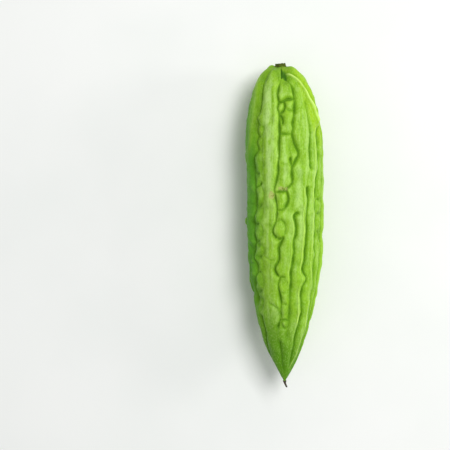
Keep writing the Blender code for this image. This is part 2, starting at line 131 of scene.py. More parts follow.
# Creases of the upper side, from the left edge to the right one: depth as a share of a groove's depth,
# width, and the places that each runs through, read off the picture that the camera below gives, in its
# pixels.
# Some have a lip on their left.
PIXEL = 0.00066
MIDDLE_PIXEL = (284.5, 223.5)
FRAME_PIXELS = 450
CAMERA_HEIGHT = 1.3
Crease = namedtuple("Crease", "depth width points lip", defaults=(0,))
CREASES = (
    # between the left ridge and the wide one, and the soft bumps along it
    Crease(0.74, 0.0011, (
        (276, 65), (270, 70), (266.5, 76), (264.7, 82), (263.7, 88), (262.7, 94), (261.7, 100),
        (261.2, 106), (260.5, 112), (259.3, 117), (258.7, 120), (259.8, 124.5), (258.5, 128),
        (258, 132), (259, 136), (258, 140), (258.5, 145), (259.8, 149.5), (257.5, 154), (256.3, 158),
        (255.5, 163), (255.3, 170),
    )),
    Crease(0.52, 0.0013, (
        (270, 69), (265, 75), (262.3, 83), (260.8, 90), (259.3, 98), (258.2, 106), (257.3, 114),
        (256.4, 122), (256, 132), (256, 142), (256, 150),
    )),
    Crease(0.66, 0.0011, (
        (255.3, 166), (255.5, 173), (256.3, 179), (257.5, 185), (257, 192), (256.5, 200), (256.5, 207),
        (256, 214), (255.5, 221), (256.5, 228), (256, 236), (257, 241), (256, 246), (255, 251),
        (255.5, 257), (257.5, 262), (258.5, 267), (259, 272), (258, 276), (257, 281), (256.5, 287),
        (257.5, 292), (258.5, 297), (258.7, 303),
    )),
    Crease(0.55, 0.0007, ((257.5, 125), (260, 125.2), (262.5, 126))),
    Crease(0.35, 0.0011, ((262.3, 125), (263.3, 129), (262.8, 133), (261, 136.5))),
    Crease(0.60, 0.0007, ((257.5, 136.5), (260, 136.3), (262.5, 137.5))),
    Crease(0.35, 0.0011, ((262.3, 137), (263, 141), (262.3, 146), (260, 149.5))),
    Crease(0.40, 0.0012, ((260.5, 150), (262.5, 154), (263, 160), (263, 167), (262, 173))),
    Crease(0.60, 0.0010, ((255.5, 173), (258.5, 174), (262, 173.5))),
    Crease(0.36, 0.0012, ((262, 173), (263.7, 177), (263.7, 182))),
    Crease(0.70, 0.0009, ((263.5, 182), (261.5, 185), (259, 187.3), (257, 188.5))),
    Crease(0.38, 0.0012, ((262, 186.5), (263.5, 192), (263, 198), (262, 203.5))),
    Crease(0.55, 0.0010, ((262.5, 203), (259.5, 207), (256, 207.5))),
    Crease(0.38, 0.0012, ((261, 207), (263, 211), (262.5, 217), (260, 221.5))),
    Crease(0.62, 0.0009, ((253, 220.5), (256, 223.5), (258.5, 224.5), (262, 223))),
    Crease(0.38, 0.0012, ((262, 224), (263.5, 230), (262.5, 236), (260, 240.5))),
    Crease(0.58, 0.0010, ((262, 239), (259, 242), (256, 242))),
    Crease(0.42, 0.0011, (
        (257.5, 246), (260, 244.5), (262.5, 245.5), (264, 249), (263.5, 253), (261, 256.5),
    )),
    Crease(0.58, 0.0010, ((263, 255.5), (260, 257.5), (256.5, 257.5))),
    Crease(0.40, 0.0012, ((261, 258), (263.5, 262), (264, 267), (262.5, 272))),
    Crease(0.55, 0.0010, ((263, 271.5), (259.5, 273), (256, 272))),
    Crease(0.40, 0.0012, ((262, 273), (263.3, 278), (263.5, 284), (263, 289))),
    Crease(0.58, 0.0010, ((263.3, 289), (260.5, 292.5), (256.5, 292))),
    Crease(0.42, 0.0011, (
        (256.5, 299), (259.5, 298), (262.5, 299), (263.5, 303), (263, 307), (260, 309),
    )),
    Crease(0.40, 0.0010, ((251.5, 244), (252.3, 252), (251.5, 260), (252.5, 268), (252.5, 277))),
    Crease(0.36, 0.0011, ((253.5, 276), (253.3, 284), (254, 291), (255.5, 298))),
    Crease(0.40, 0.0008, ((251, 262), (254, 263.5), (258, 263))),
    Crease(0.40, 0.0008, ((252.5, 286.5), (255, 287.5), (257, 286.5))),
    Crease(0.34, 0.0009, ((249.5, 203), (252, 204.5), (255.5, 203))),
    Crease(0.70, 0.0007, (
        (263.7, 315), (264.3, 319), (265.5, 324), (266.7, 329), (267.3, 334), (268, 339), (269, 344),
        (270.3, 350), (272, 356), (274, 362), (277, 369), (280, 375),
    )),
    # down the left side of the facing row of warts
    Crease(0.72, 0.0007, (
        (281.5, 67), (281.5, 74), (280.5, 79), (279.5, 84), (278, 90), (277.5, 95), (278.5, 100),
        (278.5, 104), (277.5, 108), (279, 112), (280, 116), (279.5, 121), (279, 126), (279.5, 131),
        (279.5, 137), (278.5, 144), (279, 150), (279.5, 155), (279, 160), (278, 167), (278.5, 172),
        (277.5, 177), (276, 183), (275, 189), (275, 195), (275.7, 200), (277, 204), (277.5, 209),
        (277, 216), (276.5, 222), (274.5, 226), (273, 231), (274, 235), (277.5, 239),
    ), 0.10),
    Crease(0.75, 0.0007, (
        (284, 236.5), (282, 241), (280, 244.5), (278.5, 248), (279, 253), (279.5, 258), (278, 263),
        (275.5, 267), (275.5, 271), (277, 274.5), (280, 277),
    )),
    Crease(0.62, 0.0006, (
        (281.5, 276), (279.5, 280), (278.5, 284), (279, 289), (280, 295), (280.7, 300), (281.5, 305.5),
    )),
    Crease(0.54, 0.0008, ((281.3, 302), (281.3, 306), (280.7, 310), (280.8, 314), (281.2, 320))),
    Crease(0.66, 0.0006, ((281.2, 318), (280, 322), (277.5, 329))),
    Crease(0.60, 0.0007, ((280, 341), (280, 347), (281, 352), (281.5, 358), (282, 365), (283, 372))),
    Crease(1.50, 0.0013, ((278, 62), (279.5, 66.5))),
    Crease(1.40, 0.0006, ((280.5, 65), (281.6, 69), (281.7, 73), (281.5, 78))),
    Crease(1.20, 0.0012, ((282, 71), (283.5, 73), (285, 76), (286.3, 79))),
    Crease(1.10, 0.0019, ((282.6, 69), (283.8, 73), (284.2, 76), (284.4, 79))),
    Crease(0.34, 0.0020, ((284, 61), (288, 63.5), (292, 66))),
    # down its right side
    Crease(0.72, 0.0007, (
        (281.5, 75.5), (286, 78), (289, 82), (291, 86), (292.5, 91), (293, 96), (293.5, 102),
        (293.5, 108), (293, 114), (292.5, 119), (291.5, 124), (292.5, 129), (291, 133), (292, 138),
        (293.5, 143), (296, 148), (298, 153), (297.5, 157), (295, 161), (293, 164), (291.3, 168),
        (291.3, 174), (291.8, 179), (292, 183), (290, 186),
    )),
    Crease(0.45, 0.0012, ((290.5, 139), (292.5, 145), (295, 150))),
    Crease(0.40, 0.0013, ((292, 181), (293, 186), (292.7, 194), (292, 202), (290.5, 209))),
    Crease(0.70, 0.0006, (
        (292, 182), (289.5, 186.5), (285.7, 188.5), (285.7, 191), (287, 193.5), (288, 197), (288, 201),
        (286.5, 205), (284, 208.5),
    )),
    Crease(0.58, 0.0009, ((285.5, 207), (283, 209.7), (280.5, 210.5), (276.5, 210))),
    Crease(0.72, 0.0007, (
        (298.5, 213), (294.5, 213.5), (293.5, 217), (294.5, 221), (295.5, 226), (295.5, 231),
        (295, 236), (293.5, 240), (293, 247), (293.5, 252), (292.5, 258), (292, 264), (291, 268),
        (290, 273), (290.5, 279), (290.5, 285), (290, 290),
    ), 0.14),
    Crease(0.62, 0.0009, (
        (290.5, 283), (290, 290), (289.5, 298), (289, 305), (289, 311), (288.7, 317), (287.8, 322),
    )),
    Crease(0.35, 0.0008, ((288, 316), (287.5, 326), (287, 332), (286, 340))),
    # across it, between one wart and the next
    Crease(0.86, 0.0007, (
        (277.5, 101), (281, 101.7), (284.5, 99.7), (287, 98.4), (290, 98.6), (294.5, 97.5),
    )),
    Crease(0.78, 0.0006, ((283, 99.5), (284.7, 105), (284.5, 108), (283, 111), (279, 114))),
    Crease(0.42, 0.0006, ((284, 107.5), (288, 110), (294, 110.5))),
    Crease(0.74, 0.0007, ((279.5, 113.5), (282, 118), (282.9, 121.5), (282.2, 125.5))),
    Crease(0.60, 0.0008, ((278.5, 134.5), (283, 133.7), (287, 134.2), (292, 134))),
    Crease(0.36, 0.0009, ((288, 143), (289.3, 149), (290, 156))),
    Crease(0.75, 0.0007, ((290, 157), (290, 160.5), (290.6, 164), (292, 168))),
    Crease(0.32, 0.0009, ((279, 163), (284, 165), (289, 163))),
    Crease(0.75, 0.0007, ((273.5, 193), (279, 192), (283, 191.5), (287, 190.5))),
    Crease(0.50, 0.0011, (
        (275.5, 222.5), (280.5, 219.5), (284, 222), (285.5, 227), (285.5, 232), (283.5, 236.5),
    )),
    Crease(0.66, 0.0007, ((284.5, 235.5), (282, 238.5), (279.5, 239.3), (277, 238.5))),
    Crease(0.50, 0.0008, ((278.5, 277), (281, 277.3), (285, 277))),
    Crease(0.34, 0.0008, ((279, 292.5), (284, 293.5), (290, 292))),
    Crease(0.42, 0.0009, ((281, 305), (284.5, 304.5), (288.5, 306))),
    Crease(0.68, 0.0007, ((280, 321), (283.5, 320), (286.5, 320.3), (289.5, 322))),
    Crease(0.46, 0.0009, ((281, 320.5), (281.8, 326), (284.3, 329), (287.3, 328), (288.8, 321))),
    # soft folds on the wide ridges beside it
    Crease(0.30, 0.0008, ((296.5, 119), (299, 124), (298, 130), (295, 133))),
    Crease(0.24, 0.0012, ((264, 206), (268, 209), (273, 207.5))),
    Crease(0.24, 0.0012, ((263, 224), (268, 226), (273, 224))),
    Crease(0.30, 0.0010, ((263, 255), (268, 259), (272, 261), (276, 259))),
    Crease(0.34, 0.0009, ((268, 303), (273, 305), (277, 308.5), (281.5, 310))),
    Crease(0.28, 0.0012, ((294, 168), (296, 175), (296, 182), (293, 188))),
    Crease(0.30, 0.0010, ((289, 209), (293, 211), (298, 209), (301, 205))),
    Crease(0.28, 0.0012, ((300, 135), (303, 142), (302, 150), (300, 157), (301, 164))),
    Crease(0.10, 0.0010, ((271.5, 80), (272, 92), (272, 105), (271.5, 125))),
    # the ridges of the right side
    Crease(0.55, 0.0006, (
        (289, 71), (293, 73.5), (297, 77), (300.5, 81), (304, 86), (307.3, 92), (310.9, 99),
        (314.4, 106), (317.6, 112.5), (319.7, 118), (320.7, 122),
    ), 0.45),
    Crease(0.42, 0.0009, ((303.5, 100), (305.5, 107), (307, 114), (308, 120), (309, 127), (309, 134))),
    Crease(0.60, 0.0007, (
        (309, 130), (308.7, 140), (308.7, 148), (308.9, 155), (308.6, 161), (309.2, 170),
    )),
    Crease(0.28, 0.0010, ((309, 168), (308.5, 175), (307, 182), (306, 190))),
    Crease(0.78, 0.0006, (
        (305.5, 186), (306.5, 193), (306.9, 198), (306.7, 203), (305.5, 208), (304.5, 213),
        (304.8, 218), (305.3, 224), (305.5, 230), (304.8, 236), (304.5, 243), (304, 250), (304, 256),
        (303.2, 261), (302.3, 265), (301.5, 270), (302.5, 274), (303.9, 277), (303.5, 281),
        (302, 284.5), (300.7, 287.5), (300, 292), (299.7, 298), (299.5, 305), (299.7, 312), (299, 318),
        (297.5, 324),
    ), 0.20),
    Crease(0.78, 0.0006, (
        (299.7, 312), (299, 318), (297.5, 324), (296.3, 329), (294.7, 334), (293.8, 339), (293.3, 344),
        (292.3, 350), (291.3, 355), (290, 362), (288, 370),
    ), 0.10),
    Crease(0.40, 0.0005, ((301.5, 268), (300.5, 272), (300.7, 279))),
    Crease(0.56, 0.0009, (
        (317, 126), (315.3, 133), (315.6, 139), (316.2, 146), (316.4, 153), (316.2, 160), (315.7, 168),
        (315.3, 175), (315, 182), (315.2, 189), (315, 196), (314.3, 203), (314, 210), (314.2, 218),
        (314.3, 225), (314, 231), (313.5, 238), (313.3, 243), (313, 249), (312.7, 255), (311.8, 261),
        (311.7, 267), (312.2, 273), (312, 279), (311.3, 285), (310.4, 291), (309.5, 297), (309.3, 303),
        (308.5, 308), (307.8, 314), (307, 320), (305.7, 326), (304, 332), (302.5, 338), (301, 344),
        (299, 350), (297, 356), (293.5, 363), (290, 370),
    ), 0.20),
    Crease(0.45, 0.0008, ((315, 197), (317, 199.5), (320, 199))),
    Crease(0.42, 0.0008, ((314.5, 212), (317, 214), (320, 213))),
    Crease(0.48, 0.0008, ((314.5, 230), (316.5, 232), (318, 236), (316.5, 240))),
)
# How far to the left of its crease a raised lip runs, in pixels, how wide it is and how deep its foot lies
LIP_PIXELS = 1.7
LIP_WIDTH = 0.00068
LIP_SUNK = 0.30
# A crease's corners are cut, its ends fade out, and its points are moved step by step until the camera sees
# them in their places
CORNER_CUTS = 2
CORNER_SHARE = 0.25
FADE_PIXELS = 2.5
FITTING_ROUNDS = 12
FITTING_STEP = 0.4
STEEPEST = 0.98
# How unevenly deep and wide a crease is along its way
UNEVEN = 0.40
UNEVEN_WIDTH = 1.2
UNEVEN_SPAN = 0.0055
# A crease's cut: a crisp V, which only narrow ones have, in a soft hollow
CREASE_BEND = 1.4
CRISP_SHARE = 0.40
CRISP_WIDTHS = (0.00125, 0.0008)
SOFT_WIDTH = 2.7
SOFT_BEND = 1.35
CREASE_REACH = 13.0
CREASE_JOIN = 5
NEARLY_NOTHING = 1e-12

# The fine mesh: steps across a ridge, a row of warts, a plain groove and the whole upper side, and its rings
RIDGE_STEPS = 13
ROW_STEPS = 14
GROOVE_STEPS = 3
UPPER_STEPS = 160
RINGS = 340
CREST_ROUNDS = 40
LEAST_GROOVE = math.radians(0.35)
PROFILE_SAMPLES = 4000


def ease(value, start, end):
    """0 before start, 1 after end, and a smooth step between."""
    share = np.clip((value - start) / (end - start), 0, 1)
    return share * share * (3 - 2 * share)


def crown_radius(along):
    """Radius to the ridges' crowns at a distance from the stem end: a blunt shoulder and a long taper."""
    shoulder = np.clip(1 - along / SHOULDER, 0, 1)
    taper = np.clip((along - TAPER_START) / (FRUIT_LENGTH - TAPER_START), 0, 1)
    blunt = (1 - shoulder**SHOULDER_BEND) ** SHOULDER_BLUNTNESS
    pointed = (1 - taper**TAPER_BEND) ** TAPER_BLUNTNESS
    radius = CROWN_RADIUS * blunt * pointed
    floor = np.where(along < SHOULDER, SCAR_RADIUS, TIP_RADIUS)
    return np.maximum(radius, floor)


def lean(along):
    """How far the stem end leans to one side."""
    return STEM_LEAN * np.clip(1 - along / LEAN_LENGTH, 0, 1) ** 2


def profile(rings):
    """Rings evenly spread over the skin from stem end to tip: distance along, radius, outward slope."""
    dense = FRUIT_LENGTH * (1 - np.cos(np.linspace(0, math.pi, PROFILE_SAMPLES))) / 2
    radius = crown_radius(dense)
    skin = np.concatenate([[0], np.cumsum(np.hypot(np.diff(dense), np.diff(radius)))])
    places = np.linspace(0, skin[-1], rings)
    along = np.interp(places, skin, dense)
    ring = np.interp(places, skin, radius)
    run = np.gradient(along, places)
    rise = np.gradient(ring, places)
    size = np.hypot(run, rise)
    return along, ring, run / size, -rise / size


def smooth_path(stations):
    """Middle and half-width of a gap, in radians, at every PATH_PLACES, rounded off between its stations."""
    places, middle, half = np.array(stations, float).T
    window = np.ones(int(PATH_SMOOTHING / FRUIT_LENGTH * len(PATH_PLACES)))
    edge = len(window)
    path = []
    for values in (middle, half):
        even = np.interp(PATH_PLACES, places / 1000, np.radians(values))
        padded = np.pad(even, edge, mode="edge")
        path.append(np.convolve(padded, window / len(window), mode="same")[edge:-edge])
    return path


PATHS = [smooth_path(gap.path) for gap in GAPS]


def lanes(along, least=-math.pi):
    """Middles and half-widths, in radians, of each gap and of the ridge after it, at each distance."""
    opened = CLOSED_SHARE + (1 - CLOSED_SHARE) * ease(along, *ROWS_OPEN) * (1 - ease(along, *ROWS_CLOSE))
    middle = np.stack([np.interp(along, PATH_PLACES, path[0]) for path in PATHS], axis=1)
    half = np.stack([np.interp(along, PATH_PLACES, path[1]) for path in PATHS], axis=1)
    half = np.maximum(half * opened[:, None], least)
    following = np.roll(middle, -1, axis=1)
    following[:, -1] += 2 * math.pi
    start = middle + half
    end = following - np.roll(half, -1, axis=1)
    middles = np.stack([middle, (start + end) / 2], axis=2).reshape(len(along), -1)
    halves = np.stack([half, (end - start) / 2], axis=2).reshape(len(along), -1)
    return middles, halves


def drawn_row(draw, index):
    """A row of warts drawn end to end down one gap, some of them in pairs side by side."""
    style = GAPS[index].warts
    row = []
    along = WART_SPAN[0]
    while along < WART_SPAN[1]:
        half_length = draw.uniform(*style.half_length) / 1000
        height = draw.uniform(*style.height)
        along += half_length
        here = np.array([along])
        middles, halves = lanes(here)
        middle = middles[0, 2 * index]
        room = halves[0, 2 * index]
        half_room = room * float(crown_radius(here)[0])
        if draw.random() < style.pairs:
            half_length = min(half_length, PAIR_LONGEST)
            for side in (-1, 1):
                place = along + side * draw.uniform(0, PAIR_STAGGER)
                turn = middle + side * room / 2
                row.append((place, turn, half_length, half_room * PAIR_FILL, height * PAIR_HEIGHT))
        else:
            turn = middle + draw.uniform(-ROW_STRAY, ROW_STRAY) * room
            half_width = half_room * draw.uniform(*ROW_FILL)
            row.append((along, turn, half_length, half_width, height))
        along += half_length * ROW_PITCH
    return row


def warts():
    """Every wart of the rows: distance from the stem, angle, half-length, half-width, height and skew."""
    draw = np.random.default_rng(WART_SEED)
    draw.random(DRAWS_BEFORE)
    found = []
    for index, gap in enumerate(GAPS):
        if gap.warts:
            row = drawn_row(draw, index)
            found += [(*wart, draw.uniform(-WART_SKEW, WART_SKEW)) for wart in row]
    return np.array(found)


def wrapped(angle):
    """The same angle, between half a turn back and half a turn on."""
    return (angle + math.pi) % (2 * math.pi) - math.pi


def worn_away(away, width):
    """Share of a crease's depth at a distance from its middle: a soft hollow, with a V in narrow ones."""
    crisp = np.exp(-((away / width) ** CREASE_BEND))
    soft = np.exp(-((away / (SOFT_WIDTH * width)) ** SOFT_BEND))
    crisp_share = CRISP_SHARE * ease(width, *CRISP_WIDTHS)
    return crisp_share * crisp + (1 - crisp_share) * soft


def raised_up(away, width):
    """Share of a lip's height at a distance from its middle."""
    return np.exp(-((away / width) ** 2))


def collar(along, ring):
    """How far the ridges' ends stand up round the scar."""
    rise = COLLAR_RISE * np.exp(-(((ring - COLLAR_RADIUS) / COLLAR_WIDTH) ** 2))
    return np.where(along < SHOULDER, rise, 0)


def crease_line(crease, sunk):
    """Distances from the stem, angles, depths and width shares along a crease, with its corners cut."""
    line = np.array(crease.points, float)
    for _ in range(CORNER_CUTS):
        first = (1 - CORNER_SHARE) * line[:-1] + CORNER_SHARE * line[1:]
        second = CORNER_SHARE * line[:-1] + (1 - CORNER_SHARE) * line[1:]
        between = np.stack([first, second], axis=1).reshape(-1, 2)
        line = np.concatenate([line[:1], between, line[-1:]])
    run = np.concatenate([[0], np.cumsum(np.hypot(*np.diff(line, axis=0).T))])
    depth = crease.depth * ease(np.minimum(run, run[-1] - run), -FADE_PIXELS / 2, FADE_PIXELS)
    off_centre = line - FRAME_PIXELS / 2
    to_centre = FRAME_PIXELS / 2 - np.array(MIDDLE_PIXEL)
    nearer = np.ones((len(line), 1))
    place = PIXEL * (line[:, 1] - MIDDLE_PIXEL[1]) + FRUIT_LENGTH / 2
    for _ in range(FITTING_ROUNDS):
        across, seen = PIXEL * (off_centre * nearer + to_centre).T
        raised = collar(place, crown_radius(place)) * (1 - sunk) ** 2
        place = (1 - FITTING_STEP) * place + FITTING_STEP * (seen + FRUIT_LENGTH / 2 + raised)
        crown = crown_radius(place)
        radius = crown - sunk * np.minimum(GROOVE_DEPTH, GROOVE_TO_RADIUS * crown)
        turn = np.arcsin(np.clip((across + lean(place)) / radius, -STEEPEST, STEEPEST))
        nearer = 1 - (radius * np.cos(turn))[:, None] / CAMERA_HEIGHT
    uneven = UNEVEN * noise_at(np.column_stack([place, across, 0 * place]), UNEVEN_SPAN, 21.0)
    return place, turn, depth * (1 + uneven), 1 + UNEVEN_WIDTH * uneven


def along_line(crease, form, sunk, along, angle, ring):
    """The crease's depth at each point of the skin. The form says how it falls off from its middle."""
    place, turn, depth, thick = crease_line(crease, sunk)
    reach = CREASE_REACH * crease.width
    strongest = np.zeros_like(angle)
    for start in range(len(place) - 1):
        low, high = sorted(place[start : start + 2])
        near = np.flatnonzero((along > low - reach) & (along < high + reach))
        width = crease.width * thick[start]
        run_along = place[start + 1] - place[start]
        run_across = (turn[start + 1] - turn[start]) * ring[near]
        off_along = along[near] - place[start]
        off_across = wrapped(angle[near] - turn[start]) * ring[near]
        run_squared = run_along**2 + run_across**2 + NEARLY_NOTHING
        share = np.clip((off_along * run_along + off_across * run_across) / run_squared, 0, 1)
        away = np.hypot(off_along - share * run_along, off_across - share * run_across)
        here = depth[start] + share * (depth[start + 1] - depth[start])
        strongest[near] = np.maximum(strongest[near], here * form(away, width))
    return strongest


def creased(along, angle, ring):
    """Share of a groove's depth that the creases of the upper side take off the skin."""
    total = np.zeros_like(angle)
    for crease in CREASES:
        total += along_line(crease, worn_away, crease.depth, along, angle, ring) ** CREASE_JOIN
    return total ** (1 / CREASE_JOIN)


def lipped(along, angle, ring):
    """Share of a groove's depth that the lips beside some of the creases stand above the skin."""
    total = np.zeros_like(angle)
    for crease in CREASES:
        if crease.lip:
            beside = tuple((x - LIP_PIXELS, y) for x, y in crease.points)
            lip = Crease(crease.lip, LIP_WIDTH, beside)
            total += along_line(lip, raised_up, LIP_SUNK - crease.lip, along, angle, ring)
    return total


def relief(along, angle, ring):
    """Height of the skin above the groove floor, from 0 to about 1."""
    middles, halves = lanes(along)
    total = np.zeros_like(angle)
    for lane in range(2 * len(GAPS)):
        inside = halves[:, lane] - np.abs(wrapped(angle - middles[:, lane]))
        if lane % 2:
            height = 1 - worn_away(np.maximum(inside, 0) * ring, RIDGE_EDGE)
        elif GAPS[lane // 2].warts:
            height = ROW_FLOOR * (1 - worn_away(np.maximum(inside, 0) * ring, RIDGE_EDGE))
        else:
            continue
        total += height**CREASE_SHARPNESS
    for place, turn, half_length, half_width, height, skew in warts():
        lengthwise = np.abs(along - place) / half_length
        across = np.abs(wrapped(angle - turn) * ring - skew * (along - place)) / half_width
        reach = lengthwise**WART_SQUARENESS + across**WART_SQUARENESS
        inside = np.clip(1 - reach ** (WART_FLATNESS / WART_SQUARENESS), 0, 1)
        total += (height * inside**WART_ROUNDING) ** CREASE_SHARPNESS
    return total ** (1 / CREASE_SHARPNESS) * (1 - creased(along, angle, ring))


def noise_at(points, span, shift):
    """Smooth noise of about -1 to 1 at each point. The shift sets one use of it apart from another."""
    offset = Vector((shift, 2.0 * shift, 0.5 * shift))
    return np.array([noise.noise(Vector(p) / span + offset) for p in points])


def crests(mesh, height):
    """How far each point stands above the skin around it, as a share of a groove's depth."""
    ends = np.empty(2 * len(mesh.edges), np.int32)
    mesh.edges.foreach_get("vertices", ends)
    one, other = ends.reshape(-1, 2).T
    count = np.bincount(one, minlength=len(height)) + np.bincount(other, minlength=len(height))
    around = height.copy()
    for _ in range(CREST_ROUNDS):
        near = np.bincount(one, around[other], len(height)) + np.bincount(other, around[one], len(height))
        around = (around + near / count) / 2
    return height - around


def skin_points(along, ring, run, rise, angle, height):
    """Places points of the plain spindle on the finished skin of the lying fruit."""
    plain = np.stack([along, ring * np.sin(angle), ring * np.cos(angle)], axis=1)
    depth = np.minimum(GROOVE_DEPTH, GROOVE_TO_RADIUS * ring)
    fade = depth / GROOVE_DEPTH
    lumps = LUMP_HEIGHT * noise_at(plain, LUMP_SPAN, 3.0) + DIMPLE_HEIGHT * noise_at(plain, DIMPLE_SPAN, 6.0)
    lumps = lumps + WRINKLE_HEIGHT * noise_at(plain, WRINKLE_SPAN, 15.0)
    inward = depth * (1 - height) + lumps * fade
    along_skin = along - rise * inward
    ring_skin = ring - run * inward
    free = 1 - UPPER_CALM * ease(np.abs(wrapped(angle - UPPER_MIDDLE)), *UPPER_EDGE)
    stray = WANDER * noise_at(plain, WANDER_SPAN, 9.0) + SCALLOP * noise_at(plain, SCALLOP_SPAN, 12.0)
    turn = angle + free * stray * fade / np.maximum(ring, SCAR_RADIUS)
    lift = TIP_LIFT * np.clip((along - TAPER_START) / (FRUIT_LENGTH - TAPER_START), 0, 1) ** 2
    x = FRUIT_LENGTH / 2 - along_skin + collar(along, ring) * np.clip(height, 0, 1) ** 2
    y = lean(along) - ring_skin * np.sin(turn)
    z = AXIS_HEIGHT + lift + ring_skin * np.cos(turn)
    return np.stack([x, y, np.maximum(z, 0)], axis=1)


def turned_spindle(along, ring, steps):
    """The plain fruit: its profile, with a point on the axis at each end, turned by a Screw modifier."""
    outline = [(0, 0, -along[0])]
    outline += [(r, 0, -a) for a, r in zip(along, ring)]
    outline += [(0, 0, -along[-1])]
    mesh = bpy.data.meshes.new("spindle_profile")
    mesh.from_pydata(outline, [(i, i + 1) for i in range(len(outline) - 1)], [])
    guide = bpy.data.objects.new("spindle_profile", mesh)
    bpy.context.scene.collection.objects.link(guide)
    turn = guide.modifiers.new("turn", "SCREW")
    turn.axis = "Z"
    turn.angle = 2 * math.pi
    turn.steps = steps
    turn.render_steps = steps
    turn.use_merge_vertices = True
    turn.merge_threshold = 0.000001
    graph = bpy.context.evaluated_depsgraph_get()
    turned = bpy.data.meshes.new_from_object(guide.evaluated_get(graph))
    bpy.data.objects.remove(guide)
    return turned


def column_steps():
    """Lane and place across it of each lengthwise line of the mesh, so that the lines follow the ridges."""
    lines = []
    for index, gap in enumerate(GAPS):
        gap_steps = ROW_STEPS if gap.warts else GROOVE_STEPS
        ridge_steps = UPPER_STEPS if index == len(GAPS) - 1 else RIDGE_STEPS
        lines += [(2 * index, step) for step in np.linspace(-1, 1, gap_steps, endpoint=False)]
        lines += [(2 * index + 1, step) for step in np.linspace(-1, 1, ridge_steps, endpoint=False)]
    return np.array(lines)


def fruit_mesh():
    """The plain spindle with each of its points moved to its place on the warted skin."""
    along, ring, run, rise = profile(RINGS)
    lines = column_steps()
    mesh = turned_spindle(along, ring, len(lines))
    mesh.name = "ridged_skin"

    points = np.empty(3 * len(mesh.vertices), np.float32)
    mesh.vertices.foreach_get("co", points)
    points = points.reshape(-1, 3).astype(float)
    # the ring and the lengthwise line that each point stands on
    row = np.round(np.interp(-points[:, 2], along, np.arange(len(along)))).astype(int)
    azimuth = np.arctan2(points[:, 1], points[:, 0]) % (2 * math.pi)
    column = np.round(azimuth / (2 * math.pi) * len(lines)).astype(int) % len(lines)

    lane = lines[column, 0].astype(int)
    middles, halves = lanes(along[row], LEAST_GROOVE)
    index = np.arange(len(row))
    angle = middles[index, lane] + lines[column, 1] * halves[index, lane]
    lip = lipped(along[row], angle, ring[row])
    height = relief(along[row], angle, ring[row]) + lip
    placed = skin_points(along[row], ring[row], run[row], rise[row], angle, height)

    on_axis = np.hypot(points[:, 0], points[:, 1]) < TIP_RADIUS / 2
    for end in (0, len(along) - 1):
        rim = placed[(row == end) & ~on_axis]
        placed[(row == end) & on_axis] = rim.mean(axis=0)
    mesh.vertices.foreach_set("co", placed.astype(np.float32).ravel())
    for name, values in (("relief", height), ("crest", crests(mesh, height)), ("lip", lip)):
        mesh.attributes.new(name, "FLOAT", "POINT").data.foreach_set("value", values.astype(np.float32))
    mesh.update()
    mesh.shade_smooth()
    return mesh


class Socket:
    """An output in a material's nodes. An expression on it adds the nodes that work it out."""

    def __init__(self, tree, output=None):
        self.tree = tree
        self.output = output

    def fill(self, end, value):
        """Links a Socket to an input, or sets a plain number, colour or vector on it."""
        if isinstance(value, Socket):
            self.tree.links.new(value.output, end)
        elif end.type == "RGBA":
            end.default_value = (*value, 1) if isinstance(value, tuple) else (value, value, value, 1)
        elif end.type == "VECTOR" and not isinstance(value, tuple):
            end.default_value = (value, value, value)
        else:
            end.default_value = value

    def node(self, kind, settings=None, inputs=None, output=0):
        """A node of any kind: first its settings, then its inputs, by name or place among those in use."""
        made = self.tree.nodes.new(kind)
        for name, value in (settings or {}).items():
            setattr(made, name, value)
        in_use = [end for end in made.inputs if end.enabled]
        for name, value in (inputs or {}).items():
            self.fill(in_use[name] if isinstance(name, int) else made.inputs[name], value)
        given = [end for end in made.outputs if end.enabled]
        return Socket(self.tree, given[output] if isinstance(output, int) else made.outputs[output])

    def combined(self, operation, first, second):
        """The node that works out one step of an expression: on vectors, on colours or on numbers."""
        kinds = [v.output.type if isinstance(v, Socket) else type(v) for v in (first, second)]
        if "VECTOR" in kinds:
            return self.node("ShaderNodeVectorMath", {"operation": operation}, {0: first, 1: second})
        if "RGBA" in kinds or tuple in kinds:
            settings = {"data_type": "RGBA", "blend_type": operation}
            return self.node("ShaderNodeMix", settings, {0: 1.0, 1: first, 2: second})
        return self.node("ShaderNodeMath", {"operation": operation}, {0: first, 1: second})

    def __add__(self, other):
        return self.combined("ADD", self, other)

    def __radd__(self, other):
        return self.combined("ADD", other, self)

    def __sub__(self, other):
        return self.combined("SUBTRACT", self, other)

    def __rsub__(self, other):
        return self.combined("SUBTRACT", other, self)

    def __mul__(self, other):
        return self.combined("MULTIPLY", self, other)

    def __rmul__(self, other):
        return self.combined("MULTIPLY", other, self)

    def rising(self, low, high):
        """0 where this is at low, 1 where it is at high, a smooth step between. Low may be the larger."""
        inputs = {"Value": self, "From Min": low, "From Max": high}
        return self.node("ShaderNodeMapRange", {"interpolation_type": "SMOOTHSTEP"}, inputs)

    def within(self, start, full, fading, gone):
        """0 before the start, 1 from full to fading, and 0 once gone, with smooth steps between."""
        return self.rising(start, full) * self.rising(gone, fading)

    def blend(self, below, above):
        """The colour below where this mask is 0 and the colour above where it is 1."""
        return self.node("ShaderNodeMix", {"data_type": "RGBA"}, {0: self, 1: below, 2: above})

    def axis(self, name):
        """X, Y or Z of a vector."""
        return self.node("ShaderNodeSeparateXYZ", None, {0: self}, name)

    def clouds(self, scale, stretch=(1.0, 1.0, 1.0), shift=0.0, detail=2.0):
        """Noise of 0 to 1 over this place, drawn out along an axis whose stretch is small."""
        inputs = {"Vector": self * stretch + (shift, shift, shift), "Scale": scale, "Detail": detail}
        return self.node("ShaderNodeTexNoise", None, inputs)


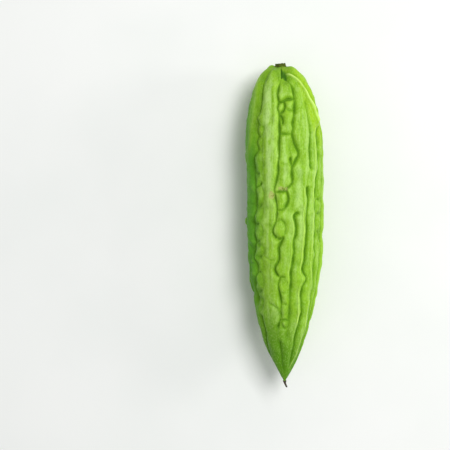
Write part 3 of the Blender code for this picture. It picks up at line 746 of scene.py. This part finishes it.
def new_material(name):
    """A material, a Socket that its nodes are made from, and the inputs of its shader."""
    made = bpy.data.materials.new(name)
    made.use_nodes = True
    return made, Socket(made.node_tree), made.node_tree.nodes["Principled BSDF"].inputs


def add_piece(name, mesh, surface):
    """An object in the scene with one material."""
    piece = bpy.data.objects.new(name, mesh)
    piece.data.materials.append(surface)
    bpy.context.scene.collection.objects.link(piece)
    return piece


# Colours of the skin, linear. Some stand for light or shade: painted shade on the left flank, in the grooves
# and hollows and at the tip, painted light on the side toward the lights, and painted highlights on rims and
# lips.
CROWN_GREEN = (0.270, 0.520, 0.024)
SHADED_FLANK_GREEN = (0.105, 0.340, 0.020)
LIT_SIDE_GREEN = (0.335, 0.575, 0.004)
GROOVE_SHADE_GREEN = (0.075, 0.220, 0.004)
STEM_OLIVE = (0.200, 0.300, 0.012)
HOLLOW_SHADE_GREEN = (0.032, 0.135, 0.010)
PALE_BLOOM_AND_SHEEN = (0.480, 0.730, 0.200)
RIM_HIGHLIGHT_PALE = (0.440, 0.740, 0.070)
LIP_HIGHLIGHT_PALE = (0.640, 0.900, 0.200)
TIP_SHADE_AND_MOTTLE_GREEN = (0.092, 0.262, 0.008)
SCAR_PALE = (0.470, 0.500, 0.160)
SCAR_BROWN = (0.220, 0.180, 0.050)
# Corky scars on the side that faces up: their middles and how far they reach, along the fruit and across it
SCARS = (((0.0225, 0.0024), (0.0014, 0.0035)), ((0.0183, 0.0087), (0.0024, 0.0019)))
SCAR_EDGE = (1.15, 0.65)
SCAR_MOTTLE = 2.6
SCAR_GRAIN = 1.6
# Patches of colour, along the fruit or across it: where each starts, is full, starts to fade and is gone
# The mint band is partly painted light, the rim band a painted highlight and the left band a lit stripe.
MINT_ALONG = (0.005, 0.045, 0.080, 0.094)
MINT_ACROSS = (0.0084, 0.0100, 0.0118, 0.0136)
RIM_ALONG = (-0.030, 0.030, 0.090, 0.102)
RIM_ACROSS = (0.0042, 0.0054, 0.0066, 0.0080)
LEFT_ACROSS = (-0.0020, -0.0002, 0.0004, 0.0022)
OLIVE_ACROSS = (-0.0060, -0.0005, 0.0015, 0.0040)
# Those that reach on to an end or a side: where each starts and is full. The side toward the lights gets
# painted light, the tip and the left flank get painted shade, and the grooves' painted shade is deepest
# toward -Y. Behind the shoulder the edge of the flank's painted shade lies nearer to the middle.
OLIVE_FROM = (0.0965, 0.1015)
LEFT_FROM = (0.035, 0.060)
LIT_SIDE_FROM = (0.035, 0.065)
LIT_SIDE_ACROSS = (0.0, -0.004)
BLOOM_FROM = (-0.085, -0.050)
TIP_FROM = (-0.042, -0.094)
FLANK_ACROSS = (0.0165, 0.0260)
FLANK_BACK = (0.065, 0.035)
FLANK_SHIFT = 0.004
DEEPEST_ACROSS = (-0.013, -0.018)
# How steeply some of them run aslant, and how far off the middle two of these start
LEFT_SLOPE = 0.165
LEFT_CROSSING = 0.0315
LIT_SIDE_SLOPE = 0.33
LIT_SIDE_CROSSING = 0.0366
BLOOM_SLOPE = 0.8
TIP_SLOPE = 0.7


def skin_material():
    """Green wax with painted shade in grooves, at the tip and on the left, painted light and highlights on
    the lit side, rims and lips, crowns pale from wax and a painted sheen, and scarred.
    """
    made, skin, shader = new_material("waxy_green_skin")
    place = skin.node("ShaderNodeTexCoord", output="Object")
    height = skin.node("ShaderNodeAttribute", {"attribute_name": "relief"}, output="Fac")
    crest = skin.node("ShaderNodeAttribute", {"attribute_name": "crest"}, output="Fac")
    lip = skin.node("ShaderNodeAttribute", {"attribute_name": "lip"}, output="Fac")
    x = place.axis("X")
    y = place.axis("Y")

    mottle = place.clouds(260, (0.5, 1.0, 1.0), detail=4.0)
    bands = place.clouds(330, (0.06, 1.0, 1.0), 0.35, detail=3.0)
    blotches = place.clouds(55, (0.6, 1.0, 1.0), 0.85)
    grain = place.clouds(1300, (0.5, 1.0, 1.0), detail=3.0)

    # painted shade: the left flank, turned from the lights, is darker and deeper green
    shaded_flank = (y + x.rising(*FLANK_BACK) * FLANK_SHIFT).rising(*FLANK_ACROSS)
    colour = shaded_flank.blend(CROWN_GREEN, SHADED_FLANK_GREEN)
    # painted light: a lit stripe along the left ridge's crown, inside the flank's painted shade
    lit_left_crown = (y + LEFT_SLOPE * x - LEFT_CROSSING).within(*LEFT_ACROSS) * x.rising(*LEFT_FROM)
    colour = (lit_left_crown * 0.65).blend(colour, CROWN_GREEN)
    # painted light: brighter, yellower green on the side toward the lights, near the stem end
    lit_side = (y + LIT_SIDE_CROSSING - LIT_SIDE_SLOPE * x).rising(*LIT_SIDE_ACROSS) * x.rising(*LIT_SIDE_FROM)
    colour = (lit_side * 0.85).blend(colour, LIT_SIDE_GREEN)
    # painted shade: darker towards the tip; the same dark green also marks the real mottle and specks below
    colour = ((x - y * TIP_SLOPE).rising(*TIP_FROM) * 0.92).blend(colour, TIP_SHADE_AND_MOTTLE_GREEN)
    colour = (mottle.rising(0.45, 0.75) * 0.40).blend(colour, TIP_SHADE_AND_MOTTLE_GREEN)

    crown = height.rising(0.62, 0.95)
    # the crowns' pale is partly their wax and partly a painted sheen; the mint band is partly painted light
    # on the wide ridge
    mint_and_lit_band = y.within(*MINT_ACROSS) * x.within(*MINT_ALONG)
    rim_highlight_band = y.within(*RIM_ACROSS) * x.within(*RIM_ALONG)
    crown_pale = crown * bands.rising(0.40, 0.62) * blotches.rising(0.25, 0.55)
    pale = crown_pale * 0.75 + mint_and_lit_band * mottle.rising(0.30, 0.55)
    pale = pale * (x - y * BLOOM_SLOPE).rising(*BLOOM_FROM) * (1.0 - 0.7 * lit_side) * (1.0 - 0.85 * shaded_flank)
    colour = (pale * 0.80).blend(colour, PALE_BLOOM_AND_SHEEN)
    # painted highlight along the wide ridge's right rim
    colour = (rim_highlight_band * mottle.rising(0.30, 0.60) * 0.60).blend(colour, RIM_HIGHLIGHT_PALE)
    colour = (grain.rising(0.50, 0.68) * (1.0 - 0.7 * shaded_flank) * 0.28).blend(colour, PALE_BLOOM_AND_SHEEN)
    colour = (grain.rising(0.48, 0.32) * 0.30).blend(colour, TIP_SHADE_AND_MOTTLE_GREEN)
    # painted highlight on each crest that stands above the skin around it
    colour = (crest.rising(0.05, 0.22) * 0.35).blend(colour, RIM_HIGHLIGHT_PALE)
    # painted highlight along the raised lips
    colour = (lip.rising(0.04, 0.42) * 0.9).blend(colour, LIP_HIGHLIGHT_PALE)
    # painted shade in the creases and grooves, deepest toward -Y
    groove = crest.rising(-0.02, -0.26) * 0.55 + height.rising(0.93, 0.38) * 0.45
    colour = (groove * (0.75 + 0.20 * y.rising(*DEEPEST_ACROSS))).blend(colour, GROOVE_SHADE_GREEN)

    scars = 0.0
    ragged = (mottle - 0.5) * SCAR_MOTTLE + (grain - 0.5) * SCAR_GRAIN
    for middle, reach in SCARS:
        from_middle = (place - (*middle, 0.0)) * (1 / reach[0], 1 / reach[1], 0.0)
        away = skin.node("ShaderNodeVectorMath", {"operation": "LENGTH"}, {0: from_middle}, "Value")
        scars = scars + (away + ragged).rising(*SCAR_EDGE)
    scars = scars * place.axis("Z").rising(AXIS_HEIGHT, AXIS_HEIGHT + 0.01)
    cork = (mottle + grain).rising(0.98, 1.14).blend(SCAR_PALE, SCAR_BROWN)
    colour = (scars * 0.75).blend(colour, cork)

    olive_patch = x.rising(*OLIVE_FROM) * y.within(*OLIVE_ACROSS)
    colour = (olive_patch * mottle.rising(0.20, 0.60) * 0.55).blend(colour, STEM_OLIVE)
    # painted shade in the deep hollows by the stem
    colour = (height.rising(0.15, -0.20) * 0.8).blend(colour, HOLLOW_SHADE_GREEN)
    skin.fill(shader["Base Color"], colour)

    texture = mottle * 0.45 + bands * 0.20 + grain * 0.35
    inputs = {"Strength": 0.5, "Distance": 0.0006, "Height": texture}
    skin.fill(shader["Normal"], skin.node("ShaderNodeBump", None, inputs))
    skin.fill(shader["Roughness"], 0.36 + mottle * 0.16 + groove * 0.10 + scars * 0.3)
    skin.fill(shader["Coat Weight"], crown * (1.0 - shaded_flank) * 0.12)
    shader["Coat Roughness"].default_value = 0.30
    shader["Coat IOR"].default_value = 1.4
    shader["Specular IOR Level"].default_value = 0.07
    shader["Subsurface Weight"].default_value = 0.08
    shader["Subsurface Radius"].default_value = (0.6, 1.0, 0.25)
    shader["Subsurface Scale"].default_value = 0.001
    return made


skin = add_piece("ridged_skin", fruit_mesh(), skin_material())
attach(skin, "root")
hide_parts("fruit")


# The stalk stub: what stays on the stem end when the stalk is torn off, dried to olive-brown cork. It is a
# low ring of fibre bundles round a sunken pith, with a torn rim, and it grows out of the skin where the
# ridges meet.

STUB_HEIGHT = 0.0019
STUB_COLUMNS = 120
# Its outline from the foot over the rim to the middle of the pith, as shares of the radius and the height
STUB_OUTLINE = (
    (1.14, -0.30),
    (1.05, 0.05),
    (1.00, 0.25),
    (0.98, 0.50),
    (0.96, 0.75),
    (0.92, 0.95),
    (0.84, 1.00),
    (0.74, 0.92),
    (0.64, 0.70),
    (0.50, 0.55),
    (0.34, 0.52),
    (0.18, 0.58),
    (0.00, 0.60),
)
# Ribs that fade inwards, fibres along the side, a torn rim and crumbs all over: how many or how long they
# are, and how high, as shares of the radius or the height
STUB_RIBS = 5
RIB_SIZE = 0.10
RIB_FADE = 1.2
FIBRE_WAVES = 9
FIBRE_SPAN = 0.0006
FIBRE_LENGTH = 3 * FIBRE_SPAN
FIBRE_SIZE = 0.05
TORN_WAVES = ((2.3, 0.6), (7.0, 0.5))
TORN_SIZE = 0.04
TORN_DEPTH = 0.55
TORN_LEVEL = 0.25
RIM_PLACE = 0.88
RIM_WIDTH = 0.30
CRUMB_SIZE = 0.12
CORK_BROWN = (0.095, 0.110, 0.018)
CORK_OLIVE = (0.078, 0.140, 0.006)
CORK_DARK = (0.030, 0.048, 0.003)


def stub_mesh():
    """The outline turned round, with ribs on its side, a torn rim and fibres all over."""
    form = bmesh.new()
    outline = [form.verts.new((SCAR_RADIUS * r, 0, STUB_HEIGHT * h)) for r, h in STUB_OUTLINE]
    lines = [form.edges.new(pair) for pair in zip(outline, outline[1:])]
    bmesh.ops.spin(
        form,
        geom=outline + lines,
        axis=(0, 0, 1),
        cent=(0, 0, 0),
        steps=STUB_COLUMNS,
        angle=2 * math.pi,
    )
    bmesh.ops.remove_doubles(form, verts=form.verts, dist=0.000002)
    for point in form.verts:
        away = math.hypot(point.co.x, point.co.y) / SCAR_RADIUS
        turn = math.atan2(point.co.y, point.co.x)
        outer = min(away * RIB_FADE, 1)
        around = Vector((math.cos(turn), math.sin(turn), 0))
        torn = sum(noise.noise(around * waves) * share for waves, share in TORN_WAVES)
        fibres = noise.noise(around * FIBRE_WAVES + Vector((0, 0, point.co.z / FIBRE_LENGTH)))
        crumbs = noise.noise(point.co / FIBRE_SPAN)
        rib = RIB_SIZE * math.cos(STUB_RIBS * turn)
        wide = 1 + outer * (rib + FIBRE_SIZE * fibres + TORN_SIZE * torn)
        point.co.x *= wide
        point.co.y *= wide
        rim = max(0, 1 - abs(away - RIM_PLACE) / RIM_WIDTH)
        if point.co.z > 0:
            point.co.z += STUB_HEIGHT * (rim * TORN_DEPTH * (torn - TORN_LEVEL) + CRUMB_SIZE * crumbs)
    bmesh.ops.recalc_face_normals(form, faces=form.faces)
    mesh = bpy.data.meshes.new("cut_stalk")
    form.to_mesh(mesh)
    form.free()
    slope = 2 * STEM_LEAN / LEAN_LENGTH
    upright = Vector((1, slope, 0)).to_track_quat("Z", "Y").to_matrix().to_4x4()
    mesh.transform(Matrix.Translation((FRUIT_LENGTH / 2, STEM_LEAN, AXIS_HEIGHT)) @ upright)
    mesh.shade_smooth()
    return mesh


def cork_material():
    """Dull stained cork with dark fibres."""
    made, cork, shader = new_material("dried_cork")
    place = cork.node("ShaderNodeTexCoord", output="Object")
    fibres = place.clouds(2200, (0.25, 1.0, 1.0), detail=4.0)
    stains = place.clouds(520, detail=2.0, shift=0.2)
    colour = stains.rising(0.35, 0.65).blend(CORK_BROWN, CORK_OLIVE)
    colour = (fibres.rising(0.45, 0.70) * 0.7).blend(colour, CORK_DARK)
    cork.fill(shader["Base Color"], colour)
    cork.fill(shader["Roughness"], 0.78 + stains * 0.15)
    shader["Specular IOR Level"].default_value = 0.15
    inputs = {"Strength": 0.8, "Distance": 0.0002, "Height": fibres}
    cork.fill(shader["Normal"], cork.node("ShaderNodeBump", None, inputs))
    return made


stub = add_piece("cut_stalk", stub_mesh(), cork_material())
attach(stub, "root")
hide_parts("stalk_stub")


# The flower remnant: the dead flower's dried base, left on the tip. It has shrivelled to a short dark point
# that hooks to one side, with creases along it and a frayed end. Its foot sits a little way into the skin.

REMNANT_LENGTH = 0.0037
REMNANT_HOOK = (-0.35, 0.12)
REMNANT_COLUMNS = 48
REMNANT_RINGS = 40
REMNANT_SUNK = 0.0002
# Its foot, how much its middle narrows, and its end, as shares of the fruit's tip
REMNANT_FOOT = 1.10
REMNANT_WAIST = 0.25
REMNANT_TIP = 0.40
REMNANT_CREASES = 6
REMNANT_CREASE_DEPTH = 0.16
REMNANT_TWIST = 2.5
REMNANT_ROUGHNESS = 0.14
REMNANT_FRAY = 0.0005
DRIED_BROWN = (0.060, 0.040, 0.020)
DRIED_BLACK = (0.014, 0.010, 0.007)
DRIED_STRAW = (0.200, 0.150, 0.070)


def remnant_mesh():
    """A tapering tube along a hooked line, creased along its length and closed at a ragged end."""
    form = bmesh.new()
    rings = []
    for step in range(REMNANT_RINGS):
        share = step / (REMNANT_RINGS - 1)
        reach = REMNANT_LENGTH * share - REMNANT_SUNK
        hook = REMNANT_LENGTH * share**2
        middle = Vector((-reach, REMNANT_HOOK[0] * hook, REMNANT_HOOK[1] * hook))
        waist = REMNANT_FOOT - REMNANT_WAIST * math.sin(math.pi * share)
        radius = TIP_RADIUS * (1 - (1 - REMNANT_TIP) * share) * waist
        ring = []
        for column in range(REMNANT_COLUMNS):
            turn = 2 * math.pi * column / REMNANT_COLUMNS
            around = Vector((math.cos(turn), math.sin(turn), 0))
            crease = REMNANT_CREASE_DEPTH * math.cos(REMNANT_CREASES * turn + REMNANT_TWIST * share)
            rough = REMNANT_ROUGHNESS * noise.noise(3 * around + Vector((0, 0, 6 * share)))
            frayed = -REMNANT_FRAY * share**6 * (1 + 2 * noise.noise(2 * around + Vector((0, 0, 9))))
            out = radius * (1 + crease + rough)
            ring.append(form.verts.new(middle + Vector((frayed, out * around.y, out * around.x))))
        rings.append(ring)
    for low, high in zip(rings, rings[1:]):
        for column in range(REMNANT_COLUMNS):
            after = (column + 1) % REMNANT_COLUMNS
            form.faces.new((low[column], low[after], high[after], high[column]))
    for ring in (rings[0], rings[-1]):
        middle = form.verts.new(sum((p.co for p in ring), Vector()) / REMNANT_COLUMNS)
        for column in range(REMNANT_COLUMNS):
            form.faces.new((ring[column], ring[(column + 1) % REMNANT_COLUMNS], middle))
    bmesh.ops.recalc_face_normals(form, faces=form.faces)
    mesh = bpy.data.meshes.new("dried_flower_tip")
    form.to_mesh(mesh)
    form.free()
    slope = 2 * TIP_LIFT / (FRUIT_LENGTH - TAPER_START)
    lifted = Matrix.Rotation(math.atan2(slope, 1), 4, "Y")
    mesh.transform(Matrix.Translation((-FRUIT_LENGTH / 2, 0, AXIS_HEIGHT + TIP_LIFT)) @ lifted)
    mesh.shade_smooth()
    return mesh


def dried_material():
    """Dull dark husk with a few straw-coloured patches."""
    made, husk, shader = new_material("dried_flower_brown")
    place = husk.node("ShaderNodeTexCoord", output="Object")
    streaks = place.clouds(2600, (0.2, 1.0, 1.0), detail=3.0)
    patches = place.clouds(900, detail=2.0, shift=0.4)
    colour = streaks.rising(0.35, 0.65).blend(DRIED_BROWN, DRIED_BLACK)
    colour = (patches.rising(0.55, 0.75) * 0.6).blend(colour, DRIED_STRAW)
    husk.fill(shader["Base Color"], colour)
    husk.fill(shader["Roughness"], 0.70 + patches * 0.2)
    inputs = {"Strength": 0.7, "Distance": 0.0002, "Height": streaks}
    husk.fill(shader["Normal"], husk.node("ShaderNodeBump", None, inputs))
    return made


remnant = add_piece("dried_flower_tip", remnant_mesh(), dried_material())
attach(remnant, "root")
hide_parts("flower_remnant")


# The floor: a plain pale board, painted and faintly brushed, flat and level. It runs past the picture's
# edges on every side, and the fruit lies loose on it.

FLOOR_SIZE = 3.0
FLOOR_PALE = (0.92, 0.92, 0.92)
FLOOR_GREY = (0.88, 0.89, 0.885)


def floor_material():
    """Pale paint, a little greyer in faint clouds."""
    made, paint, shader = new_material("pale_paint")
    place = paint.node("ShaderNodeTexCoord", output="Object")
    brushed = place.clouds(9, detail=3.0)
    paint.fill(shader["Base Color"], brushed.rising(0.3, 0.7).blend(FLOOR_PALE, FLOOR_GREY))
    paint.fill(shader["Roughness"], 0.60 + brushed * 0.15)
    return made


bpy.ops.mesh.primitive_plane_add(size=FLOOR_SIZE)
floor = bpy.context.object
floor.name = "pale_floor"
floor.data.materials.append(floor_material())


# Light and camera: a large soft light high up at the upper right, a weak low one from the right, and pale
# surroundings. The camera looks straight down, turned so that the fruit stands upright in the picture.

def soft_light(name, place, size, power, colour):
    """A square soft light, turned to the fruit."""
    light = bpy.data.lights.new(name, "AREA")
    light.size = size
    light.energy = power
    light.color = colour
    lamp = bpy.data.objects.new(name, light)
    lamp.location = place
    lamp.rotation_euler = (Vector((0, 0, AXIS_HEIGHT)) - lamp.location).to_track_quat("-Z", "Y").to_euler()
    bpy.context.scene.collection.objects.link(lamp)


soft_light("main_light", (0.35, -0.42, 1.26), 0.60, 12.0, (1.0, 1.0, 0.98))
soft_light("rim_light", (0.15, -1.10, 0.42), 0.25, 2.4, (1.0, 1.0, 0.95))

studio = bpy.data.worlds.new("studio")
studio.use_nodes = True
surroundings = studio.node_tree.nodes["Background"].inputs
surroundings["Color"].default_value = (0.97, 1.0, 0.98, 1)
surroundings["Strength"].default_value = 0.45
bpy.context.scene.world = studio

camera = bpy.data.objects.new("camera", bpy.data.cameras.new("camera"))
bpy.context.scene.collection.objects.link(camera)
camera.data.lens = camera.data.sensor_width / 2 * CAMERA_HEIGHT / (FRAME_PIXELS / 2 * PIXEL)
camera_x = (MIDDLE_PIXEL[1] - FRAME_PIXELS / 2) * PIXEL
camera_y = (MIDDLE_PIXEL[0] - FRAME_PIXELS / 2) * PIXEL
camera.matrix_world = Matrix(
    (
        (0, 1, 0, camera_x),
        (-1, 0, 0, camera_y),
        (0, 0, 1, AXIS_HEIGHT + CAMERA_HEIGHT),
        (0, 0, 0, 1),
    )
)
bpy.context.scene.camera = camera
bpy.context.scene.view_settings.view_transform = "Standard"
